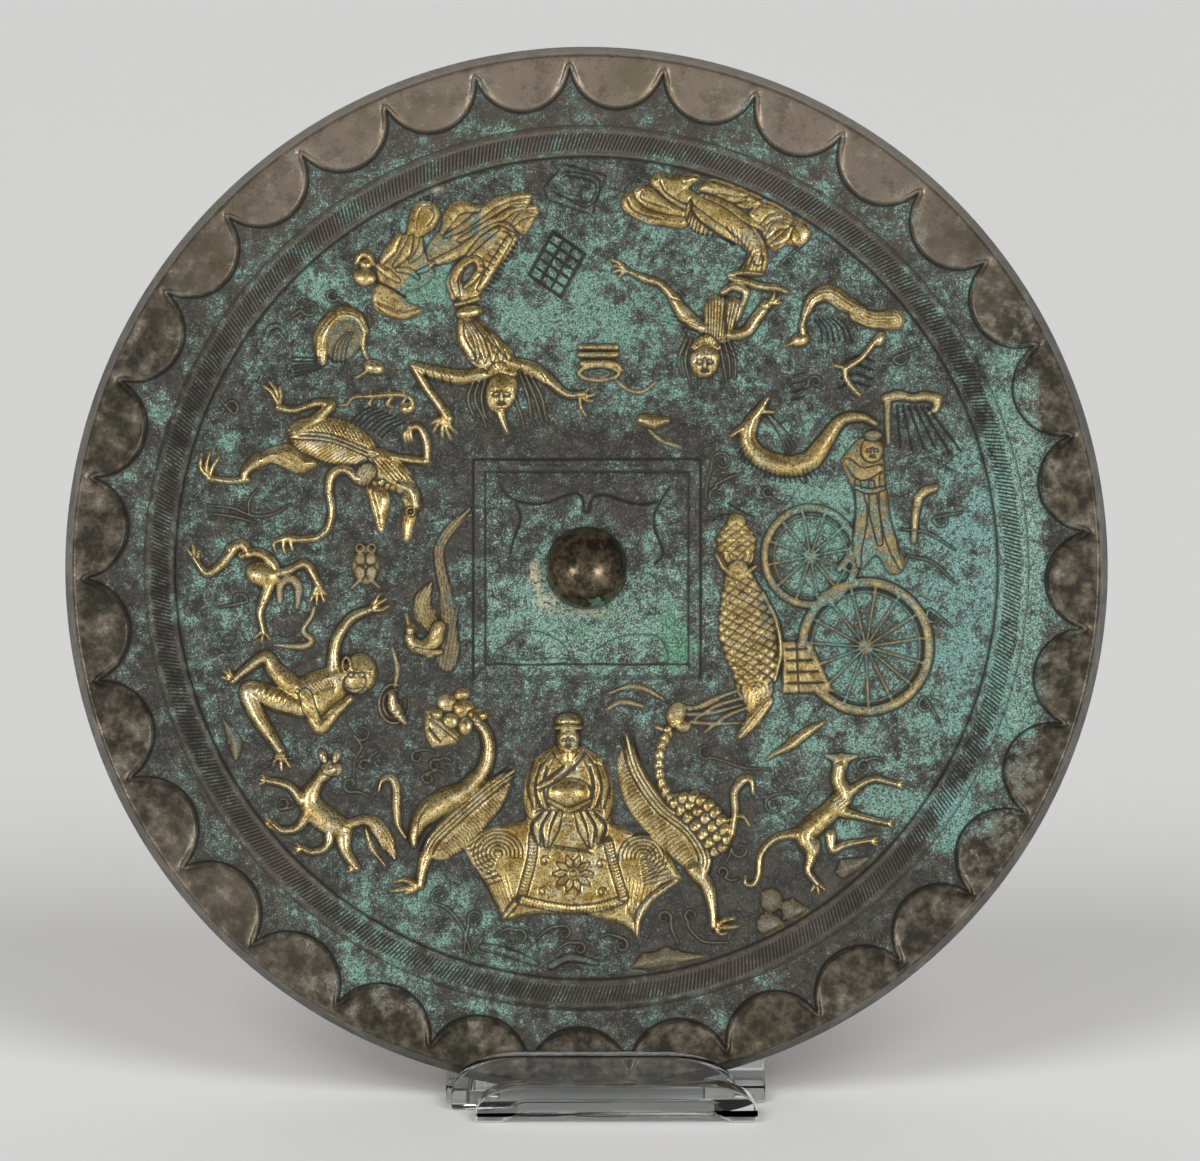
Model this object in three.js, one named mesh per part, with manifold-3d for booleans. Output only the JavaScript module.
// Cast bronze mirror with gilded figures on its back, leaning in a clear acrylic cradle.
// Millimetres, +Z up. The decorated back of the mirror faces -Y and leans towards +Y.
import * as THREE from "three";
import { ParametricGeometry } from "three/addons/geometries/ParametricGeometry.js";
import { mergeVertices } from "three/addons/utils/BufferGeometryUtils.js";
import Module from "manifold-3d";

const wasm = await Module();
wasm.setup();

// ---------- driving dimensions ----------
const lean = THREE.MathUtils.degToRad(12);
const mirrorRadius = 125.5; // at the polished face
const rimRadius = 123; // at the decorated face, inside the bevelled edge
const rimHeight = 7; // from the polished face's edge to the top of the rim
const polishCrown = 1; // how far the polished face swells at its middle
const fieldHeight = 3.2; // level of the picture ground
const fieldRadius = 98.6;
const bandInner = 99.6; // hatched band
const bandOuter = 105;
const bandHeight = 4.1;
const gutterInner = 106.4; // sloping gutter between the band and the rim's lobes
const gutterLow = 3.5;
const gutterHigh = 5.2;
const rimLedge = 121.4; // where the plain rim stands up all the way round
const lobeCount = 32;
const lobeCusp = 120;
const lobeTip = 110.3;
const lobeSteps = 4;
const knobRadius = 10;
const knobRise = 9.6;
const cordHole = { width: 6.4, height: 5.8, sill: 0.25 };
const turnSteps = 64;
const floorGap = 1.2; // the mirror's lowest edge hangs this far above the floor
const touch = 0.3; // air between the mirror and its cradle

const sheet = 5.5; // acrylic
const footSheet = 4;
const cradle = { left: -33.7, right: 42.9, pocket: 28, plateTop: 88, cornerRadius: 14 };
const upperLip = { x: 1.8, halfWidth: 34, top: 12.8, shoulder: 9 };
const lowerLip = { x: 7.2, halfWidth: 33.4, top: 9, shoulder: 6.5, archRise: 2.5, foot: 6.3 };
const shoulderStretch = 1.9; // a lip's shoulder is this much wider than it is tall
const lipGap = 4.2;

// ---------- joining and cutting ----------
function solid(geometry) {
  const bare = geometry.clone();
  bare.deleteAttribute("normal");
  bare.deleteAttribute("uv");
  const merged = mergeVertices(bare, 1e-4);
  const kept = [];
  for (let i = 0; i < merged.index.count; i += 3) {
    const [a, b, c] = [0, 1, 2].map((k) => merged.index.getX(i + k));
    if (a !== b && b !== c && c !== a) kept.push(a, b, c);
  }
  const vertProperties = new Float32Array(merged.attributes.position.array);
  const mesh = new wasm.Mesh({ numProp: 3, vertProperties, triVerts: new Uint32Array(kept) });
  return new wasm.Manifold(mesh);
}

function toGeometry(body) {
  const mesh = body.getMesh();
  const geometry = new THREE.BufferGeometry();
  const points = new Float32Array(mesh.numVert * 3);
  for (let i = 0; i < mesh.numVert; i++) {
    for (let k = 0; k < 3; k++) points[i * 3 + k] = mesh.vertProperties[i * mesh.numProp + k];
  }
  geometry.setAttribute("position", new THREE.BufferAttribute(points, 3));
  geometry.setIndex(Array.from(mesh.triVerts));
  geometry.computeVertexNormals();
  return geometry;
}

const joined = (bodies) => bodies.reduce((whole, next) => whole.add(next));

// ---------- relief, drawn in the mirror's own plane: u right, v up, heights above the ground ----------
const sink = 0.5; // every raised form is rooted this far into the ground

// A raised limb: a ridge along a smooth path, with its half-widths spread evenly along it.
// Wide limbs have a flat-topped section, slim ones a sharp one.
function limb(path, halfWidths, height) {
  const curve = new THREE.CatmullRomCurve3(path.map(([u, v]) => new THREE.Vector3(u, v, 0)));
  const widest = Math.max(...halfWidths);
  const steps = THREE.MathUtils.clamp(Math.round(curve.getLength() / (5.6 + widest)), 1, 6);
  const sides = widest > 1.85 ? 4 : 3;
  const widthAt = (t) => {
    const place = t * (halfWidths.length - 1);
    const k = Math.min(Math.floor(place), halfWidths.length - 2);
    return THREE.MathUtils.lerp(halfWidths[k], halfWidths[k + 1], place - k);
  };
  const section = (corner, half) => {
    if (sides === 3) return [[-half, -sink], [half, -sink], [0, height]][corner % 3];
    return [[-half, -sink], [half, -sink], [half * 0.5, height], [-half * 0.5, height]][corner % 4];
  };
  const stations = steps + 2;
  const surface = (along, around, target) => {
    const station = Math.round(along * stations);
    const t = THREE.MathUtils.clamp((station - 1) / steps, 0, 1);
    const centre = curve.getPointAt(t);
    const tangent = curve.getTangentAt(t);
    const atEnd = station === 0 || station === stations;
    if (atEnd) {
      const reach = widthAt(t) * (station === 0 ? -0.7 : 0.7);
      target.set(centre.x + tangent.x * reach, centre.y + tangent.y * reach, -sink * 0.5);
      return;
    }
    const [across, rise] = section(Math.round(around * sides), widthAt(t));
    target.set(centre.x + tangent.y * across, centre.y - tangent.x * across, rise);
  };
  return solid(new ParametricGeometry(surface, stations, sides));
}

// A raised rounded lump, turned by a number of degrees.
function lump([u, v], [halfLong, halfShort], height, turn = 0, sides = 8) {
  const geometry = new THREE.SphereGeometry(1, sides, 4);
  geometry.rotateX(Math.PI / 2);
  geometry.scale(halfLong, halfShort, height);
  geometry.rotateZ(THREE.MathUtils.degToRad(turn));
  geometry.translate(u, v, 0);
  return solid(geometry);
}

// A raised flat patch inside an outline.
function patch(outline, height) {
  const shape = new THREE.Shape(outline.map(([u, v]) => new THREE.Vector2(u, v)));
  const geometry = new THREE.ExtrudeGeometry(shape, { depth: height + sink, bevelEnabled: false });
  geometry.translate(0, 0, -sink);
  return solid(geometry);
}

// A raised ring.
function ring([u, v], radius, halfWidth, height, stretch = 1, steps = 20) {
  const geometry = new THREE.TorusGeometry(radius, halfWidth, 4, steps);
  geometry.scale(1, stretch, height / halfWidth);
  geometry.translate(u, v, 0);
  return solid(geometry);
}

// A wheel with its hub and spokes.
function wheel(centre, radius, halfWidth, height, spokes, stretch = 1) {
  const parts = [ring(centre, radius, halfWidth, height, stretch), lump(centre, [1.6, 1.6], height, 0, 6)];
  for (let k = 0; k < spokes; k++) {
    const turn = (2 * Math.PI * (k + 0.3)) / spokes;
    const at = (reach) => [
      centre[0] + Math.cos(turn) * reach,
      centre[1] + Math.sin(turn) * reach * stretch,
    ];
    parts.push(limb([at(0.5), at(radius)], [0.4, 0.6], height * 0.5));
  }
  return parts;
}

// ---------- the figures ----------
function leftFlyer() {
  return [
    limb([[-12.8, 89.6], [-20, 88.2], [-26, 85], [-31, 81.5], [-37, 77.5]], [1.3, 1.6, 2.4, 2.6, 1.8], 1.5),
    lump([-30.5, 85], [3.6, 2.8], 1.5, 35),
    lump([-39.2, 84.2], [3.9, 2.9], 1.7, 70),
    limb([[-13, 85.6], [-11.6, 83], [-13.5, 79.8]], [1.4, 1.8, 1.4], 1.4),
    limb([[-16, 85.8], [-21, 83.8], [-28, 80], [-34, 76.5]], [1.2, 1.9, 2, 1.6], 1.3),
    limb([[-17, 80.5], [-22, 81], [-28, 77.5], [-36.5, 74]], [1.1, 1.8, 1.7, 1.2], 1.5),
    limb([[-18.8, 78], [-22.5, 74.5], [-24.8, 69.5], [-29.5, 65.5]], [1.4, 2.1, 2, 1.4], 1.4),
    limb([[-26.8, 74], [-31, 71], [-32.4, 66]], [1.2, 1.6, 1], 1.5),
    limb([[-26.4, 73.4], [-30.5, 66.5]], [1, 0.9], 1.4),
    limb([[-46, 80.3], [-46, 77], [-49.5, 73.5]], [1.2, 1.9, 1.5], 1.4),
    lump([-53.2, 75.4], [2.7, 2.3], 1.6),
    lump([-53, 70.2], [2.9, 2.3], 1.6),
    patch([[-51.5, 67], [-47, 66.6], [-43.6, 63.6], [-38.8, 62.6], [-44.4, 59.9], [-50, 61.2]], 1.1),
    limb([[-30.6, 61.4], [-28.4, 62.4], [-26, 63.2]], [1.5, 1.7, 1.5], 1.7),
    limb([[-30, 59.2], [-27.6, 55.4], [-24.6, 51.4]], [2.2, 3.2, 3], 1.7),
    lump([-20.8, 51.6], [3.4, 2.6], 1.5, -20),
    lump([-20.4, 42.6], [5.6, 3.8], 2, 68, 10),
    limb([[-20.6, 37.4], [-19.6, 34.8], [-18.9, 32.6]], [1.2, 0.8, 0.4], 1.4),
    limb(
      [[-17.2, 48.6], [-12.1, 46.9], [-9.4, 45], [-4.4, 41.2], [-0.2, 41.8]],
      [1.6, 1.5, 1, 0.9, 0.8],
      1.4,
    ),
    limb([[-3.2, 40.6], [-2.4, 38.4], [-0.6, 36.6]], [0.7, 0.5, 0.3], 0.8),
    limb([[-25.6, 45.6], [-32, 46], [-37.6, 47.4], [-41, 48.4]], [1.6, 1.6, 1.4, 1], 1.5),
    limb([[-41, 48.2], [-38, 43.4], [-34.8, 38], [-32.4, 35.6]], [1, 1, 0.9, 1.4], 1.5),
    limb([[-34, 36.8], [-36.2, 34.6], [-36.4, 32]], [0.9, 0.6, 0.3], 1),
    limb([[-32.2, 35.8], [-31, 34], [-31.6, 31.8]], [0.9, 0.6, 0.3], 1),
  ];
}

function rightFlyer() {
  return [
    limb([[17.2, 93.4], [19.6, 90.6], [24.4, 87.8]], [2, 2.9, 2], 1.6),
    limb([[20.4, 92.6], [23.4, 93], [26.6, 92.8]], [1.8, 1.6, 0.9], 1.4),
    limb([[12.6, 90.2], [15.4, 88.4], [19, 86.8]], [1.3, 2, 1], 1.5),
    limb([[9.4, 89.2], [11.2, 86.6], [15.6, 84.6], [22, 84]], [1.2, 1.7, 1.6, 1.2], 1.5),
    limb([[28.2, 92], [32.4, 91.8], [37.6, 89.8], [41.2, 88.4]], [1.5, 1.9, 1.4, 0.8], 1.5),
    limb([[26.4, 87.6], [31, 85.2], [36.4, 81.6], [40.2, 77.4], [41.6, 73.4]], [2.2, 3.2, 3, 2.8, 2], 1.8),
    limb([[25, 86.2], [26.4, 82.8], [30, 80.4], [33.4, 78]], [1.4, 2, 1.6, 0.9], 1.4),
    limb([[41.4, 86.2], [46, 85.6], [50.2, 84]], [1, 1.6, 1.4], 1.4),
    lump([50.8, 80.8], [3.2, 2.7], 1.7),
    limb([[48.6, 82.4], [46.6, 80], [45.6, 77.6]], [1.5, 1.5, 0.9], 1.4),
    limb([[34.6, 69.4], [41, 68.2], [47.4, 67]], [0.7, 0.9, 0.5], 1.1),
    limb([[37.8, 68], [36.8, 66], [33.2, 66.6]], [0.8, 1.2, 0.8], 1.2),
    limb([[30.2, 64.6], [30, 58.6], [30.6, 54]], [2, 2.3, 1.8], 1.5),
    limb([[35.4, 63.8], [35.4, 60], [34, 56.6]], [2.1, 2.3, 1.6], 1.5),
    limb(
      [[10.6, 71.2], [14.4, 69.4], [18.6, 67.6], [22, 61.4], [27.4, 58.2]],
      [0.6, 0.9, 0.9, 1.7, 1.3],
      1.4,
    ),
    lump([7.6, 72], [1.9, 1.3], 1.1, -20, 6),
    limb([[34, 56], [38.4, 56.8], [41.2, 60.2], [43.6, 63.8], [46, 64.7]], [1.3, 1.1, 1, 0.8, 0.6], 1.3),
    lump([28.4, 50], [4.7, 3.7], 2, 75, 10),
  ];
}

function altarAndPlaques() {
  return [
    limb([[-1.6, 51.9], [7.2, 51.9]], [1.3, 1.3], 1.4),
    limb([[-1.4, 49.2], [6.6, 49.2], [8.2, 47.6]], [0.8, 0.8, 0.5], 1),
    ring([3, 46.9], 4.2, 0.5, 0.6, 0.34, 12),
    limb([[6.8, 45.4], [10, 42.8], [13.6, 42.3], [16.6, 44.6]], [0.35, 0.4, 0.4, 0.3], 0.5),
    patch([[-10.4, 91.4], [-9, 88.6], [1.2, 84.8], [4.6, 92], [3.6, 95.6], [-5.8, 97]], 0.7),
    patch([[-13.6, 70.4], [-6.2, 65.2], [-2, 75.6], [-8, 80.6]], 0.4),
  ];
}

function waterBirds() {
  return [
    limb(
      [[-63.2, 50.6], [-63, 55.6], [-59.6, 60], [-55.6, 60], [-53.6, 57.4]],
      [1.4, 2.2, 2.4, 2, 1.2],
      1.5,
    ),
    lump([-58.4, 54.8], [4.2, 3.4], 0.9, 60),
    lump([-51, 48.2], [2.7, 1.9], 1.5, -15),
    limb(
      [[52.9, 61.6], [54.6, 64.4], [58.4, 65.2], [62.6, 62.8], [66.6, 60.4]],
      [1, 1.7, 2, 1.8, 1.6],
      1.5,
    ),
    limb([[66.2, 60], [73, 59.4]], [1.7, 1.9], 0.9),
    lump([51.6, 54.8], [2.3, 1.7], 1.5, 15),
    limb([[71.4, 56.2], [70, 53.6]], [1.2, 1.1], 1.4),
    limb([[69.2, 54.6], [67, 51.4], [62, 48.4], [62.6, 45.4], [65.4, 42]], [0.7, 0.7, 0.8, 0.8, 0.4], 1.2),
    limb([[-76.8, 56.6], [-74.6, 57.2], [-72, 55]], [0.8, 0.9, 0.5], 0.7),
  ];
}

function leftBeast() {
  return [
    lump([-60.4, 30.2], [10.6, 4.7], 1.9, -14, 12),
    limb([[-70.6, 33], [-66.4, 35.8], [-62, 38.6]], [1, 1.2, 1.2], 1.5),
    limb(
      [[-62, 39.6], [-66.6, 39.4], [-71, 38.2], [-74.4, 39], [-74.6, 42.4], [-76.8, 44]],
      [1, 0.9, 0.8, 0.9, 1.1, 0.8],
      1.4,
    ),
    lump([-70.6, 26.2], [5.2, 3], 1.8, -22),
    limb(
      [[-73.6, 28], [-78.4, 27.2], [-81.4, 23.6], [-83.4, 21.6], [-90.4, 21.8]],
      [1.7, 1.5, 1, 0.8, 0.5],
      1.4,
    ),
    limb([[-90.8, 22], [-92.2, 24.6], [-90.2, 27.4]], [0.9, 0.9, 0.5], 1.1),
    limb([[-51.5, 27], [-46.6, 24.4], [-43, 20], [-41.8, 15.8]], [3.4, 3.2, 2.8, 2.1], 1.9),
    limb([[-42.2, 14.6], [-42.8, 11], [-43.6, 7.6]], [2, 1.6, 0.5], 1.7),
    limb([[-52.6, 24.6], [-51.4, 19.6], [-50, 14], [-50, 9.6]], [2, 1.9, 1.5, 0.6], 1.6),
    limb([[-49, 28.8], [-44.4, 27], [-38.4, 26], [-38.6, 30], [-40.4, 34]], [0.8, 0.8, 0.9, 1, 0.9], 1.3),
    limb([[-40.8, 34.2], [-43, 33.4], [-42.4, 31.2]], [0.8, 0.8, 0.4], 1),
    limb([[-54.8, 20.4], [-57, 23.4], [-60.8, 22.8], [-62, 18], [-61.4, 13]], [0.6, 1, 1.3, 1, 0.8], 1.3),
    limb([[-61.4, 12], [-63.4, 7.8], [-68.6, 7.2], [-72.6, 7.4], [-74.4, 5]], [0.7, 0.6, 0.6, 0.9, 1], 1.1),
    limb([[-59, 38.6], [-55.6, 41], [-50, 41.6], [-42.4, 40.6]], [0.4, 0.5, 0.6, 0.5], 0.7),
    lump([-43, 38.4], [1.8, 1.5], 1, 0, 6),
  ];
}

function frogAndTurtle() {
  return [
    lump([-78.8, -1.8], [3.6, 2.5], 1.7, -10),
    limb([[-82.6, 2.2], [-79, 3], [-76, 1.2], [-73, -1]], [0.9, 1.4, 1.2, 1], 1.4),
    limb([[-94.4, 3], [-90.8, -0.6], [-88, 0.6], [-84.8, 3.8], [-81.4, 5.2]], [0.5, 1, 0.9, 1, 1.1], 1.3),
    limb([[-75.4, -2.8], [-77.6, -7.6], [-78.2, -11], [-77.6, -15]], [1.2, 1, 0.8, 0.6], 1.3),
    limb([[-73, -1], [-69.4, 0.4], [-66, -1.4], [-64.4, -4.6], [-65.8, -7]], [1, 0.9, 1, 1, 0.9], 1.4),
    limb(
      [[-65.6, -8], [-66.4, -12], [-67.8, -15.4], [-66, -17.6], [-75, -18.6]],
      [0.6, 0.7, 0.8, 0.9, 0.4],
      1.1,
    ),
    limb(
      [[-73.6, -8], [-73.4, -4.4], [-71, -3], [-69.4, -5.6], [-69.6, -9.4]],
      [0.6, 0.8, 0.8, 0.8, 0.6],
      1,
    ),
    lump([-52.6, 2.2], [4.5, 2.8], 1.4, 85),
  ];
}

function ribbonBird() {
  return [
    limb([[-27.6, 15], [-31.4, 10.6], [-34.8, 6], [-35.2, 1], [-33.8, -5]], [0.7, 1, 1.2, 1.3, 1.2], 0.8),
    limb([[-33.6, -6], [-32.8, -13], [-33.4, -19], [-34.8, -23.4]], [1.2, 1.2, 1.4, 1.2], 0.8),
    limb([[-37.4, -3.4], [-38.6, -8], [-37, -12.4]], [0.8, 2.4, 1.6], 0.9),
    limb([[-35.4, -14.4], [-37.6, -17.8], [-41, -18], [-42.4, -15]], [1.3, 1.5, 1.4, 1.2], 1.4),
    limb([[-46.4, -19.6], [-45.4, -23.4], [-45.6, -28]], [0.5, 0.7, 0.7], 0.7),
    limb([[-47, -31], [-46.2, -34], [-43.8, -37.2]], [1.1, 1.5, 0.8], 1.5),
  ];
}

function monkey() {
  return [
    lump([-55.6, -25.6], [4.9, 3.8], 2.2, 70, 10),
    lump([-64.6, -29.6], [6.2, 5.4], 2.2, 20, 10),
    limb(
      [[-61, -24.6], [-60.9, -19], [-59.2, -14.6], [-55.6, -11.2], [-50.2, -9.2]],
      [1.4, 1.3, 1.2, 1, 0.8],
      1.5,
    ),
    limb([[-50, -9], [-48.8, -7.4], [-49.6, -5.4]], [1, 0.8, 0.4], 1),
    limb([[-70, -30.4], [-74, -26.6], [-77.2, -21.8]], [2.4, 2.2, 1.3], 1.7),
    limb([[-77.6, -21.2], [-81.4, -24], [-85.6, -28]], [1, 0.9, 0.6], 1.3),
    limb([[-86, -28], [-87.2, -25], [-85.4, -23.4]], [0.5, 0.4, 0.3], 0.8),
    limb([[-69, -35], [-75, -33], [-81, -29.8]], [2, 2.4, 1.8], 1.7),
    limb([[-81.6, -30.6], [-79.6, -36], [-75.8, -41], [-73, -44.4]], [1.9, 1.7, 1.5, 1.2], 1.6),
    limb([[-73.2, -44.6], [-74, -47.4]], [0.9, 0.4], 0.9),
    limb([[-67, -31], [-66.2, -35.4], [-63.6, -38.2], [-57.6, -32.4]], [1.2, 1.2, 1.3, 1], 1.8),
  ];
}

function leftDeer() {
  return [
    lump([-61.6, -48.2], [2.4, 2], 1.8, 80),
    lump([-63.8, -44.6], [1.3, 1], 1.2, 40, 6),
    lump([-60.4, -45.2], [1.4, 0.9], 1, 10, 6),
    limb([[-62.6, -50], [-65.2, -52.6], [-66.2, -56]], [1.3, 1.6, 2.2], 1.6),
    limb([[-66.4, -56.6], [-63, -60], [-59, -62.6]], [2.3, 3.1, 2.2], 1.9),
    limb([[-68.8, -55.4], [-71.4, -52.2], [-75, -51.4], [-78.4, -51]], [1, 0.9, 0.8, 0.7], 1.2),
    limb([[-67.8, -58], [-70, -61.6], [-73.4, -62.6], [-76, -61]], [1.2, 1.1, 1, 0.6], 1.2),
    limb([[-61.4, -63], [-62.2, -66.4], [-65, -67.4], [-68, -66.6]], [1.2, 1, 0.8, 0.6], 1.2),
    limb([[-58.6, -62.6], [-58.8, -67], [-57, -70.6], [-55, -73]], [1.5, 1.3, 0.9, 0.7], 1.4),
    limb([[-55, -73.2], [-57.4, -75.2], [-60, -75]], [0.5, 0.4, 0.3], 0.7),
    limb(
      [[-57.8, -61.4], [-54.6, -60], [-51.8, -61.2], [-49.6, -65.4], [-46, -69.4]],
      [0.8, 1, 1.1, 1, 0.4],
      1.2,
    ),
  ];
}

function leftGreatBird() {
  return [
    lump([-33.2, -32.6], [2.3, 2.1], 1.8),
    lump([-29.6, -30.6], [1.6, 1.2], 1.3, 10, 6),
    lump([-29.2, -34.2], [2.3, 2.1], 1.8),
    lump([-32.2, -36.6], [1.6, 1.4], 1.6, -40, 6),
    lump([-28.9, -38], [1.9, 1.5], 1.8, 80),
    lump([-25.4, -35.7], [1.9, 1.2], 1.2, 0, 6),
    patch([[-38.2, -34.6], [-36.2, -34], [-30.6, -40.8], [-31, -41.6], [-37, -43], [-38.2, -41]], 1.2),
    limb([[-26.4, -37], [-24.8, -41], [-24.6, -46], [-27, -50.4]], [1.3, 1.5, 1.5, 1.6], 1.7),
    limb(
      [[-27.6, -50.8], [-33, -54.6], [-38, -57.8], [-40.4, -61.4], [-40.6, -65]],
      [1.6, 2, 2.7, 1.9, 0.9],
      1.9,
    ),
    limb(
      [[-20, -50], [-26, -55.6], [-32, -61], [-36.6, -65], [-38.4, -69], [-36.8, -70.6]],
      [1, 1.3, 1.5, 1.5, 1.2, 0.6],
      1.3,
    ),
    limb([[-20.6, -52.4], [-25.4, -58.6], [-30.4, -65], [-35, -68]], [1, 2.2, 2.6, 1.6], 0.7),
    limb([[-38.6, -70.6], [-39.6, -74], [-40.2, -77], [-46.4, -77.4]], [1.1, 0.7, 0.8, 0.6], 1.2),
    limb(
      [[-49.6, -52.2], [-48, -50.8], [-46.2, -51.4], [-45.8, -56], [-45.4, -61.4]],
      [0.5, 0.7, 0.9, 0.9, 0.6],
      1.2,
    ),
  ];
}

function seatedLord() {
  const robe = [
    [-8, -43.6], [-13.6, -50], [-15.2, -58], [-13, -61.8], [-4, -63], [4.6, -62],
    [5.8, -54], [3.4, -48], [-1, -43.8], [-4.6, -46.8],
  ];
  const seat = [
    [-30, -66.4], [-25.6, -63], [-15.4, -60.4], [4.8, -61], [11.6, -63.9], [16.6, -64.4], [22.8, -74.6],
    [18.2, -76], [14, -82.4], [12.3, -88.6], [8, -84.6], [-3, -82.6], [-12.6, -83], [-19, -84.6],
    [-22, -80.6], [-27.4, -72],
  ];
  return [
    lump([-4.3, -36.4], [3.1, 1.9], 2.2, 0, 6),
    limb([[-7, -38], [-1.3, -38]], [0.6, 0.6], 2),
    lump([-4.6, -41.2], [3.2, 2.5], 2.5, 90),
    patch(robe, 1.3),
    limb([[-8.6, -44.6], [-12, -50], [-13, -55.6], [-9.4, -58.4]], [1.5, 2.4, 2.4, 1.6], 2.3),
    limb([[-0.6, -44.8], [2.2, -49], [3.4, -55], [0.4, -58.2]], [1.4, 2.3, 2.3, 1.6], 2.3),
    limb([[-1.8, -45.4], [-6.4, -48.6], [-13, -53]], [1, 1.3, 1.1], 2.6),
    lump([-4.3, -53.6], [5, 3.5], 2.8),
    ...[-10, -5, 0].map((u) => limb([[u * 0.5 - 2.2, -58], [u, -66.4]], [1, 1.9], 1.8)),
    patch(seat, 0.8),
    limb([[-13.6, -63], [-13.4, -70], [-16, -79]], [0.8, 0.9, 0.9], 1.5),
    limb([[-16, -79.4], [-3, -81.8], [8.8, -80]], [0.9, 0.9, 0.9], 1.5),
    limb([[4.6, -65.4], [6, -71], [9, -79.4]], [0.8, 0.9, 0.9], 1.5),
    lump([-3.3, -73.4], [1.9, 1.9], 1.5, 0, 6),
    limb([[20, -74.8], [15.4, -79.6], [12.2, -87.4]], [0.8, 0.8, 0.6], 1.4),
  ];
}

function rightGreatBird() {
  return [
    lump([21.2, -35], [3.2, 1.9], 1.5, 60),
    limb([[22, -33.6], [26, -35.4], [31, -33], [37.4, -32.6]], [0.9, 0.6, 0.5, 0.3], 0.7),
    limb([[26.6, -37], [31, -35.4], [37, -36.4]], [0.4, 0.5, 0.3], 0.6),
    limb([[20, -39.8], [18, -43], [17, -47.4], [18.2, -52], [21, -55.8]], [1.1, 1.4, 1.4, 1.6, 2.2], 1.6),
    limb([[21, -56], [26, -59.2], [30.4, -63.4], [31.4, -69]], [2, 3, 3.2, 1], 2),
    limb(
      [[8.4, -45], [12, -51], [17, -57.4], [22, -62], [26.6, -66.6], [27.8, -71.4], [26, -74.4]],
      [1, 1.3, 1.5, 1.5, 1.5, 1.5, 1],
      1.4,
    ),
    limb(
      [[8, -48], [12.4, -56.4], [18.4, -62.8], [23.6, -69.4], [24.6, -73.6]],
      [0.9, 1.8, 2.4, 2.4, 1.4],
      0.8,
    ),
    limb([[26.6, -73.8], [29, -78], [30, -83], [30.2, -86]], [1.6, 1.3, 1, 0.9], 1.5),
    limb([[30, -86.6], [33, -86.2], [36.2, -85.4]], [0.9, 0.7, 0.4], 1.1),
    limb(
      [[35, -64], [35.8, -58.4], [35.2, -53.4], [37, -50.6], [39.6, -51.4]],
      [0.9, 0.8, 0.9, 1.2, 0.7],
      1.4,
    ),
  ];
}

function scaledPhoenix() {
  return [
    limb([[36, 10.4], [36, 4.6], [36.4, -1], [37.6, -8]], [2.4, 4.9, 3.8, 5.4], 1.6),
    limb([[37.8, -8], [38.6, -15], [40, -22], [40.4, -29]], [5.4, 7, 6.2, 4.4], 1.5),
    limb([[40.4, -29], [39.6, -33]], [4.2, 2.4], 1.1),
    limb([[43.6, -32.2], [40, -36.4], [36.8, -40.6]], [1.4, 2, 0.9], 1.4),
  ];
}

function chariot() {
  const car = [[47.2, -17.6], [53.4, -17.4], [58, -26.6], [59.4, -29.6], [47.4, -30.2]];
  const seat = [
    [60.6, -1], [63.6, 4.4], [70.4, -1.4], [75.6, -2.4], [75.4, 4], [71, 12], [71.4, 26], [66, 30],
    [62.2, 24], [64, 12],
  ];
  return [
    ...wheel([67.1, -18.6], 15.1, 1.2, 1.3, 8),
    ...wheel([53.8, 3], 10.9, 1, 1.1, 4, 1.04),
    patch(car, 0.9),
    patch(seat, 1),
    lump([67.2, 28.8], [4.6, 4], 1.7, 20),
    limb([[66.4, 25], [66.8, 17], [67.4, 9], [70.4, 2]], [3.8, 3.4, 3.4, 3.6], 1.7),
    limb(
      [[41.6, 38.8], [38.6, 34.4], [39.2, 29.4], [43.2, 25.2], [49.2, 24.6]],
      [1.5, 2, 2.2, 2.4, 2.3],
      1.8,
    ),
    limb([[49.4, 24.8], [54.6, 28.6], [58.4, 33.2], [63.6, 36], [69, 34]], [2.2, 1.8, 1.3, 1.2, 0.9], 1.6),
    limb([[43.4, 40.6], [42.4, 38.2]], [0.8, 1], 1.5),
    limb([[72.6, 28.6], [72.6, 34], [72.6, 41]], [0.8, 0.9, 1], 1.1),
    limb([[72.4, 41], [78, 41.2], [84.2, 40.8], [82.8, 37.6]], [1.1, 1, 0.9, 0.5], 1.3),
    limb([[78, 6.8], [78.6, 12.4], [79.2, 17], [83.4, 19]], [0.7, 0.8, 0.9, 0.7], 1.1),
  ];
}

function smallCreatures() {
  return [
    limb([[13.6, 35.4], [16.4, 35.2], [19.4, 35.6]], [1.5, 1.6, 0.6], 1.5),
    limb([[20, 35.4], [25, 34.6], [29, 33.4]], [0.7, 0.7, 0.4], 0.5),
    limb([[44.8, -45], [48.6, -43], [52, -40.6], [57.6, -36.8]], [0.5, 1.2, 1.1, 0.3], 1.3),
    limb([[6.6, -30], [10, -28.8], [14, -28.6], [18.6, -31.6]], [0.4, 0.7, 0.6, 0.4], 0.6),
  ];
}

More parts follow.
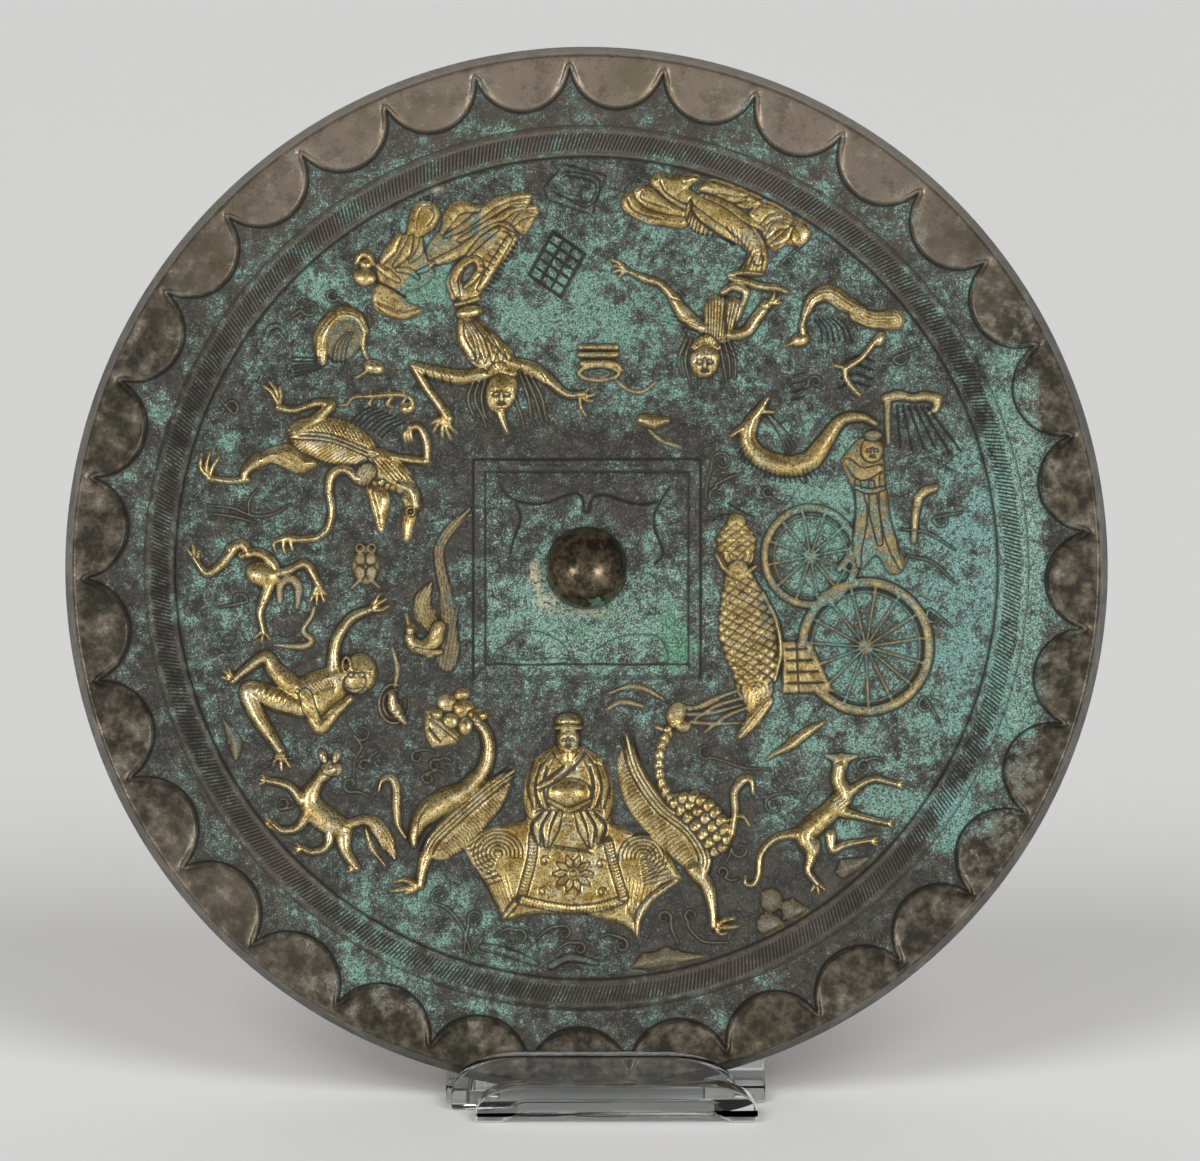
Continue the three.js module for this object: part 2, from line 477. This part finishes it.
function rightLizard() {
  return [
    limb([[57.8, -45.4], [61.2, -46.2], [65, -45.6]], [0.6, 1.5, 0.5], 1.4),
    limb([[60.6, -47], [60.6, -51], [61.6, -55]], [1.3, 1.5, 2], 1.7),
    limb([[61.4, -56], [57, -59.6], [53.4, -62.6], [53, -65]], [2, 2.8, 2.6, 1.6], 1.9),
    limb([[62.6, -54.2], [66, -52.4], [69.6, -50.6], [74.6, -51.6]], [1, 0.8, 0.7, 0.5], 1.1),
    limb([[62.8, -58.4], [65.8, -59.8], [70, -61], [73, -60.6]], [0.9, 0.7, 0.7, 0.5], 1.1),
    limb([[53.6, -63], [54.6, -68], [52.8, -73], [55, -76.4]], [2, 1.7, 0.9, 0.7], 1.6),
    limb([[59, -64.6], [59.4, -67.4], [63.4, -65.6], [68, -65]], [0.7, 0.8, 0.6, 0.4], 0.9),
    limb([[50.4, -64.6], [46, -65], [42.4, -68.6], [41, -73.6]], [1, 0.7, 0.8, 0.8], 1.1),
    limb([[41, -74.6], [40, -76.2], [38.4, -74.8]], [0.8, 0.7, 0.6], 1),
  ];
}

function rocks() {
  return [
    lump([44, -79.2], [2.9, 2.4], 1.6, 20),
    lump([43.6, -84.2], [3.6, 2.3], 1.4, -20),
    lump([48.8, -81.6], [2.6, 2.9], 1.5, 0),
    limb([[10.4, -96], [14, -92.8], [20, -92.4], [27, -93.6]], [0.5, 0.9, 1, 0.3], 0.9),
    patch([[60.8, -71.4], [67.8, -70.4], [61.4, -74.8]], 0.8),
    limb([[-88.4, -37], [-86, -41], [-83.6, -46.6]], [1.2, 1.6, 1.2], 0.8),
    limb([[-25, -91.4], [-20, -92.2], [-12, -94.8]], [0.7, 1, 0.5], 0.7),
  ];
}

// ---------- the panel round the knob, with its two pairs of tied curtains ----------
function panel() {
  const outer = 27;
  const inner = 23.6;
  const corners = [[-1, -1], [1, -1], [1, 1], [-1, 1]];
  const square = (half) => corners.map(([a, b]) => new THREE.Vector2(a * half, b * half));
  const frame = new THREE.Shape(square(outer));
  frame.holes.push(new THREE.Path(square(inner).reverse()));
  const border = new THREE.ExtrudeGeometry(frame, { depth: sink + 0.35, bevelEnabled: false });
  border.translate(0, 0, -sink);
  const parts = [solid(border)];
  for (const side of [-1, 1]) {
    const mirrored = (path) => path.map(([u, v]) => [side * u, v]);
    const swag = [[19.6, 19.4], [15.6, 16], [10, 15.8], [4, 17.6], [1.6, 14.8]];
    const drop = [[16.6, 15.4], [16.4, 10], [18, 4.4], [16.2, 1]];
    parts.push(limb(mirrored(swag), [0.4, 0.6, 0.6, 0.6, 0.4], 0.6));
    parts.push(limb(mirrored(drop), [0.5, 0.5, 0.5, 0.3], 0.5));
  }
  return parts;
}

// ---------- the knob, pierced from side to side for a cord ----------
function knob() {
  const profile = [new THREE.Vector2(0, -sink), new THREE.Vector2(knobRadius, -sink)];
  for (let k = 0; k < 5; k++) {
    const rise = (k / 5) * (Math.PI / 2);
    profile.push(new THREE.Vector2(knobRadius * Math.cos(rise), knobRise * Math.sin(rise)));
  }
  profile.push(new THREE.Vector2(0, knobRise));
  const dome = new THREE.LatheGeometry(profile, 20);
  dome.rotateX(Math.PI / 2);
  const half = cordHole.width / 2;
  const spring = cordHole.sill + cordHole.height - half;
  const arch = new THREE.Shape();
  arch.moveTo(-half, cordHole.sill);
  arch.lineTo(half, cordHole.sill);
  arch.lineTo(half, spring);
  arch.absarc(0, spring, half, 0, Math.PI);
  const depth = 4 * knobRadius;
  const tunnel = new THREE.ExtrudeGeometry(arch, { depth, curveSegments: 6, bevelEnabled: false });
  tunnel.translate(0, 0, -depth / 2);
  tunnel.rotateX(Math.PI / 2);
  tunnel.rotateZ(Math.PI / 2);
  return solid(dome).subtract(solid(tunnel));
}

// ---------- the disc, its hatched band, its gutter and its scalloped rim ----------
function disc() {
  const profile = [
    [0, -polishCrown],
    [mirrorRadius * 0.55, -polishCrown * 0.7],
    [mirrorRadius, 0],
    [rimRadius, rimHeight],
    [rimLedge, rimHeight],
    [rimLedge - 0.2, gutterHigh],
    [gutterInner, gutterLow],
    [bandOuter, bandHeight],
    [bandInner, bandHeight],
    [fieldRadius, fieldHeight],
    [0, fieldHeight],
  ];
  const geometry = new THREE.LatheGeometry(profile.map(([r, h]) => new THREE.Vector2(r, h)), turnSteps);
  geometry.rotateX(Math.PI / 2);
  return solid(geometry);
}

function lobedRim() {
  const outline = new THREE.Shape();
  outline.absarc(0, 0, rimLedge + 0.6, 0, 2 * Math.PI);
  const hole = new THREE.Path();
  // The lobes were laid out by eye, so their spacing drifts by a degree or two round the rim.
  const turnOf = (cusp) => {
    const even = (2 * Math.PI * cusp) / lobeCount;
    const first = 1.48 * Math.cos(even) - 1.46 * Math.sin(even);
    const second = 0.4 * Math.sin(2 * even) - 0.36 * Math.cos(2 * even);
    return even + THREE.MathUtils.degToRad(3.05 + first + second);
  };
  for (let cusp = 0; cusp < lobeCount; cusp++) {
    for (let step = 0; step < lobeSteps; step++) {
      const t = (1 - Math.cos((Math.PI * step) / lobeSteps)) / 2;
      const turn = THREE.MathUtils.lerp(turnOf(cusp), turnOf(cusp + 1), t);
      const dip = Math.sin((Math.PI * step) / lobeSteps);
      const radius = THREE.MathUtils.lerp(lobeCusp, lobeTip, dip);
      const point = [radius * Math.cos(turn), radius * Math.sin(turn)];
      if (cusp === 0 && step === 0) hole.moveTo(...point);
      else hole.lineTo(...point);
    }
  }
  hole.closePath();
  outline.holes.push(hole);
  const geometry = new THREE.ExtrudeGeometry(outline, {
    depth: rimHeight - gutterLow + sink,
    curveSegments: turnSteps / 2,
    bevelEnabled: false,
  });
  geometry.translate(0, 0, gutterLow - sink);
  return solid(geometry);
}

function mirrorBody() {
  const figures = [
    leftFlyer, rightFlyer, altarAndPlaques, waterBirds, leftBeast, frogAndTurtle, ribbonBird, monkey,
    leftDeer, leftGreatBird, seatedLord, rightGreatBird, scaledPhoenix, chariot, smallCreatures,
    rightLizard, rocks, panel,
  ];
  const relief = joined(figures.flatMap((figure) => figure()));
  const raised = joined([relief, knob()]).translate([0, 0, fieldHeight]);
  return joined([disc(), lobedRim(), raised]);
}

// ---------- where the leaning mirror stands, then the cradle fitted round it ----------
const mirrorCentreZ = floorGap + mirrorRadius * Math.cos(lean);
const rimFootY = -rimRadius * Math.sin(lean) - rimHeight * Math.cos(lean); // the decorated face's lowest edge
const upperLipBack = rimFootY - touch;
const upperLipFront = upperLipBack - sheet;
const lowerLipBack = upperLipFront - lipGap;
const lowerLipFront = lowerLipBack - sheet;
const footBack = -lowerLipFront; // the foot reaches as far back as forward, so the part is centred

// A standing sheet with rounded shoulders, and an arched underside if it has a rise.
function lip({ x, halfWidth, top, shoulder, archRise = 0, foot = 0 }, front, back) {
  const reach = shoulder * shoulderStretch;
  const outline = new THREE.Shape();
  outline.moveTo(-halfWidth, 0);
  outline.lineTo(-halfWidth, top - shoulder);
  outline.absellipse(-halfWidth + reach, top - shoulder, reach, shoulder, Math.PI, Math.PI / 2, true);
  outline.absellipse(halfWidth - reach, top - shoulder, reach, shoulder, Math.PI / 2, 0, true);
  outline.lineTo(halfWidth, 0);
  if (archRise > 0) {
    outline.lineTo(halfWidth - foot, 0);
    outline.lineTo(halfWidth - foot - archRise * 2, archRise);
    outline.lineTo(-halfWidth + foot + archRise * 2, archRise);
    outline.lineTo(-halfWidth + foot, 0);
  }
  outline.closePath();
  const depth = back - front;
  const geometry = new THREE.ExtrudeGeometry(outline, { depth, curveSegments: 6, bevelEnabled: false });
  geometry.rotateX(Math.PI / 2);
  geometry.translate(x, back, 0);
  return solid(geometry);
}

function block(low, high) {
  const geometry = new THREE.BoxGeometry(high[0] - low[0], high[1] - low[1], high[2] - low[2]);
  geometry.translate((low[0] + high[0]) / 2, (low[1] + high[1]) / 2, (low[2] + high[2]) / 2);
  return solid(geometry);
}

// The foot, notched at the front so that the mirror's edge hangs into it between two rails.
function base(front, pocketBack, back) {
  const outline = new THREE.Shape();
  outline.moveTo(cradle.left, front);
  outline.lineTo(-cradle.pocket, front);
  outline.lineTo(-cradle.pocket, pocketBack);
  outline.lineTo(cradle.pocket, pocketBack);
  outline.lineTo(cradle.pocket, front);
  outline.lineTo(cradle.right, front);
  outline.lineTo(cradle.right, back);
  outline.lineTo(cradle.left, back);
  outline.closePath();
  return solid(new THREE.ExtrudeGeometry(outline, { depth: footSheet, bevelEnabled: false }));
}

// The back plate leans with the mirror, just behind the swell of its polished face.
function backPlate() {
  const half = (cradle.right - cradle.left) / 2;
  const middle = (cradle.right + cradle.left) / 2;
  const r = cradle.cornerRadius;
  const bottom = -mirrorCentreZ / Math.cos(lean) - 2;
  const top = bottom + cradle.plateTop / Math.cos(lean);
  const outline = new THREE.Shape();
  outline.moveTo(-half, bottom);
  outline.lineTo(half, bottom);
  outline.lineTo(half, top - r);
  outline.absarc(half - r, top - r, r, 0, Math.PI / 2);
  outline.absarc(-half + r, top - r, r, Math.PI / 2, Math.PI);
  outline.closePath();
  const settings = { depth: sheet, curveSegments: 6, bevelEnabled: false };
  const geometry = new THREE.ExtrudeGeometry(outline, settings);
  geometry.translate(middle, 0, -polishCrown - touch - sheet);
  return solid(leaned(geometry));
}

function leaned(geometry) {
  geometry.rotateX(Math.PI / 2 - lean);
  geometry.translate(0, 0, mirrorCentreZ);
  return geometry;
}

// The triangular prop behind the plate.
function prop() {
  const middle = (cradle.right + cradle.left) / 2;
  const plateBack = (polishCrown + touch + sheet - 1) / Math.cos(lean);
  const yAt = (z) => (z - mirrorCentreZ) * Math.tan(lean) + plateBack;
  const outline = new THREE.Shape([
    new THREE.Vector2(yAt(1), 1),
    new THREE.Vector2(footBack - 3, 1),
    new THREE.Vector2(footBack - 3, footSheet + 4),
    new THREE.Vector2(yAt(cradle.plateTop * 0.8) + 3, cradle.plateTop * 0.8),
    new THREE.Vector2(yAt(cradle.plateTop * 0.8), cradle.plateTop * 0.8),
  ]);
  const geometry = new THREE.ExtrudeGeometry(outline, { depth: sheet, bevelEnabled: false });
  geometry.rotateX(Math.PI / 2);
  geometry.rotateZ(Math.PI / 2);
  geometry.translate(middle - sheet / 2, 0, 0);
  return solid(geometry);
}

function cradleBody() {
  const pocketBack = rimFootY + 10;
  const legInset = 0.8;
  const legTop = footSheet - 0.6;
  const legFront = lowerLipBack - 1;
  const legBack = upperLipFront + 3;
  const legs = [-1, 1].map((side) => {
    const outer = lowerLip.x + side * (lowerLip.halfWidth - legInset);
    const inner = outer - side * (lowerLip.foot - 2 * legInset);
    return [Math.min(outer, inner), Math.max(outer, inner)];
  });
  const bodies = [
    lip(upperLip, upperLipFront, upperLipBack),
    lip(lowerLip, lowerLipFront, lowerLipBack),
    ...legs.map(([low, high]) => block([low, legFront, 0], [high, legBack, legTop])),
    base(upperLipFront + 2, pocketBack, footBack),
    backPlate(),
    prop(),
  ];
  const floor = block([-200, -200, -50], [200, 200, 0]);
  return joined(bodies).subtract(floor);
}

// ---------- scene graph ----------
const group = new THREE.Group();

const bronze = new THREE.MeshStandardMaterial({ color: 0x5d7264, roughness: 0.5, metalness: 0.7 });
const mirror = new THREE.Mesh(toGeometry(mirrorBody()), bronze);
mirror.name = "mirror";
mirror.rotation.x = Math.PI / 2 - lean;
mirror.position.z = mirrorCentreZ;
group.add(mirror);

const acrylic = new THREE.MeshStandardMaterial({
  color: 0xeef2f6,
  roughness: 0.06,
  metalness: 0,
  transparent: true,
  opacity: 0.35,
});
const stand = new THREE.Mesh(toGeometry(cradleBody()), acrylic);
stand.name = "stand";
group.add(stand);

export default group;
